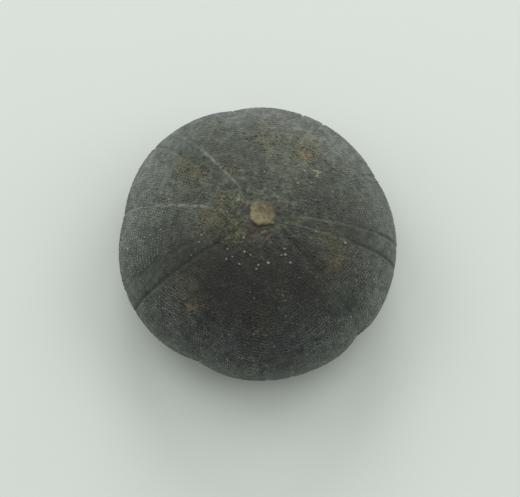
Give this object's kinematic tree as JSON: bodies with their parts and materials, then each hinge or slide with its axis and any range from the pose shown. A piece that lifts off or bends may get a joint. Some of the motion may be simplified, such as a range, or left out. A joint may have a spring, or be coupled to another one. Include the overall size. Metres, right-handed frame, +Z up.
{
  "type": "fossil sea urchin",
  "caption": "Domed fossil sea urchin test in dark grey stone, with paired pore furrows from a pale apical plug to the mouth, on a flat resting base.",
  "frame": {"origin": "on the ground, under the middle of the body's bounding box", "axes": "+Z up through the apex, the mouth side down; -Y is the side that the camera stands on; +X is to the camera's right"},
  "size_m": [0.0414, 0.0422, 0.0207],
  "materials": {
    "fossil_stone": "dull dark grey-green weathered stone with fine paler grains, rust and olive stains and a tan plug at the apex"
  },
  "bodies": {
    "root": {"sea_urchin_test": "fossil_stone"}
  },
  "joints": []
}
